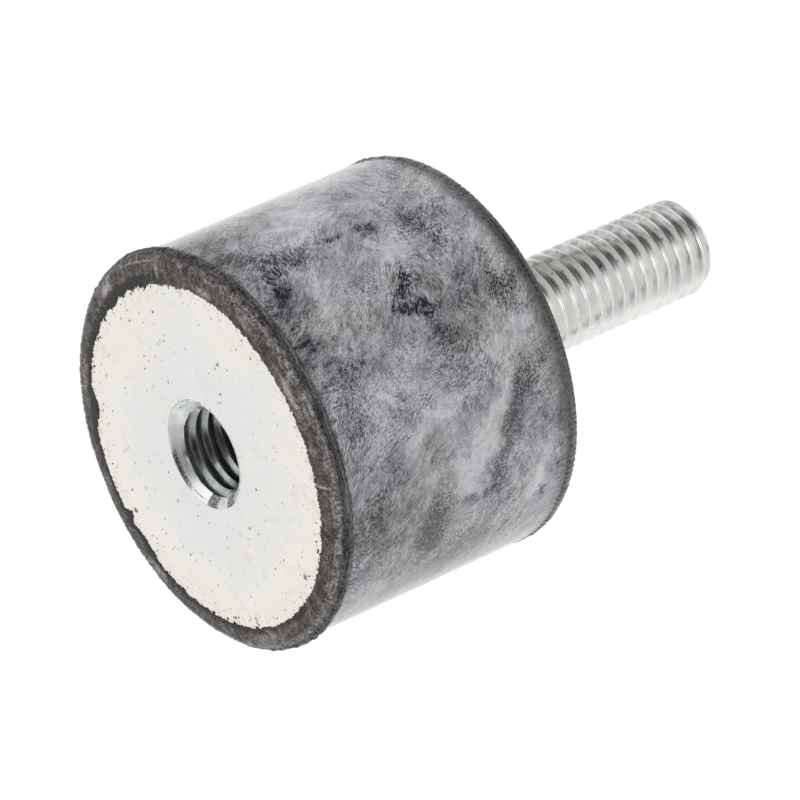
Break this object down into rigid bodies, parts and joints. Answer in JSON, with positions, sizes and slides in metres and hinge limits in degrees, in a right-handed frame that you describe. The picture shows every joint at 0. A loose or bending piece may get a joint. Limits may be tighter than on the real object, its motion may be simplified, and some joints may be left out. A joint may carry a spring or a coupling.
{
  "type": "bobbin vibration mount",
  "caption": "Round rubber vibration mount bonded between two steel end plates, with a threaded insert at one end and a threaded stud at the other.",
  "frame": {"origin": "centre of the insert's end face, at the foot of the mount's axis", "axes": "+Z along the mount's axis, from the insert's end face to the tip of the stud"},
  "size_m": [0.0408, 0.0408, 0.061],
  "materials": {
    "rubber": "dark grey moulded rubber with a pale cloudy bloom",
    "plate_steel": "pale cream zinc plate with fine dark specks",
    "thread_steel": "bright zinc plated steel"
  },
  "bodies": {
    "root": {"rubber_body": "rubber", "female_plate": "plate_steel", "stud_plate": "plate_steel", "threaded_insert": "thread_steel", "threaded_stud": "thread_steel"}
  },
  "joints": []
}
